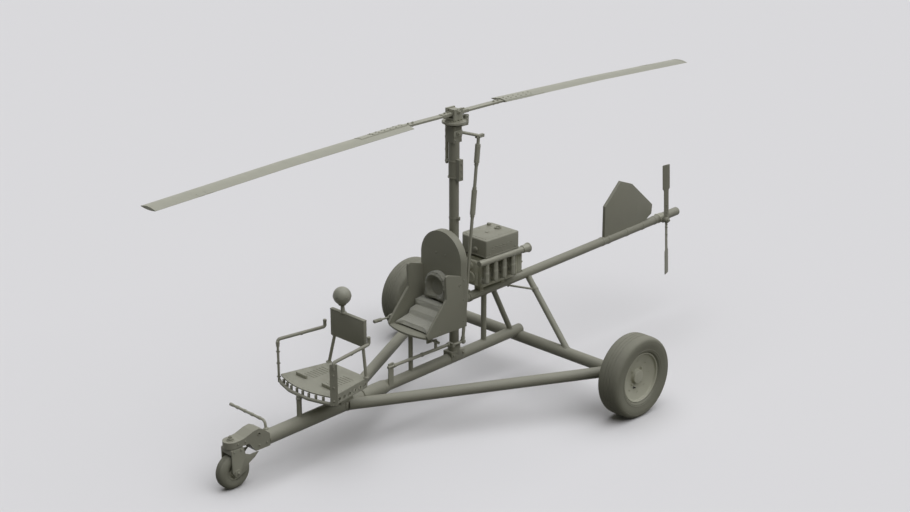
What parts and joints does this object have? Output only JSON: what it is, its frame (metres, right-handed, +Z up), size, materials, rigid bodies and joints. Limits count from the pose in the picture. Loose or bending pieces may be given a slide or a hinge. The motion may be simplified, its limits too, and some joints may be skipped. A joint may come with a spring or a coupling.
{
  "type": "gyrocopter",
  "caption": "Open-frame single-seat gyrocopter with a teetering two-blade rotor, tail boom with a side rotor, and a tricycle gear with a steered nose wheel.",
  "frame": {"origin": "on the ground, straight below the mast's axis, which is the middle of the rotor's sweep", "axes": "+X forward to the nose wheel, +Y to port, +Z up"},
  "size_m": [6.101, 2.84, 2.545],
  "materials": {
    "painted": "satin warm grey paint on steel tube",
    "mast_paint": "satin warm grey paint",
    "cast": "sand-cast, grey",
    "cowl": "satin grey paint on sheet",
    "steel": "dull plated steel",
    "alloy": "dull anodised",
    "panel": "matt grey",
    "plastic": "smooth moulded",
    "seat_plastic": "moulded shell, fine grain",
    "seat_fabric": "woven cover",
    "tyre": "grey rubber"
  },
  "bodies": {
    "frame": {"keel_tube": "painted", "cross_axle": "painted", "drag_braces": "painted", "hub_carriers": "painted", "steering_head": "painted", "mast": "mast_paint", "tail_boom": "painted", "mast_brackets": "painted", "engine_posts": "painted", "boom_braces": "painted", "engine_block": "cast", "engine_cowl": "cowl", "exhausts": "steel", "rear_housing": "cast", "seat_shell": "seat_plastic", "seat_cushion": "seat_fabric", "lumbar_pad": "seat_fabric", "seat_post": "painted", "hand_lever": "painted", "control_tube": "steel", "control_rod": "steel", "foot_tray": "alloy", "hoop_frame": "painted", "instrument_panel": "panel", "panel_legs": "painted", "compass": "plastic", "air_probe": "steel", "fin": "painted", "tail_gearbox": "cast", "rotor_head": "mast_paint", "head_arm": "steel", "spin_drive": "steel"},
    "nose_fork": {"nose_fork": "painted"},
    "nose_wheel": {"nose_tyre": "tyre", "nose_rim": "alloy"},
    "wheel_port": {"tyre_port": "tyre", "rim_port": "alloy"},
    "wheel_starboard": {"tyre_starboard": "tyre", "rim_starboard": "alloy"},
    "rotor_hub": {"rotor_hub": "steel"},
    "rotor_blades": {"hub_bar": "steel", "blade_front": "alloy", "blade_rear": "alloy"},
    "tail_rotor": {"tail_rotor": "alloy"}
  },
  "joints": [
    {"name": "nose_steering", "type": "hinge", "parent": "frame", "child": "nose_fork", "pos_m": [2.392, 0, 0.35], "axis": [0, 0, 1], "range_deg": [-30, 30]},
    {"name": "nose_wheel_spin", "type": "hinge", "parent": "nose_fork", "child": "nose_wheel", "pos_m": [2.386, 0, 0.142], "axis": [0, 1, 0], "continuous": true},
    {"name": "wheel_port_spin", "type": "hinge", "parent": "frame", "child": "wheel_port", "pos_m": [-0.797, 1.312, 0.352], "axis": [0, 1, 0], "continuous": true},
    {"name": "wheel_starboard_spin", "type": "hinge", "parent": "frame", "child": "wheel_starboard", "pos_m": [-0.797, -1.312, 0.352], "axis": [0, 1, 0], "continuous": true},
    {"name": "rotor_spin", "type": "hinge", "parent": "frame", "child": "rotor_hub", "pos_m": [0, 0, 2.45], "axis": [0, 0, 1], "continuous": true},
    {"name": "rotor_teeter", "type": "hinge", "parent": "rotor_hub", "child": "rotor_blades", "pos_m": [0, 0, 2.52], "axis": [-0.0148, 0.9999, 0], "range_deg": [-7, 7]},
    {"name": "tail_rotor_spin", "type": "hinge", "parent": "frame", "child": "tail_rotor", "pos_m": [-2.747, 0.084, 0.96], "axis": [0, 1, 0], "continuous": true}
  ]
}
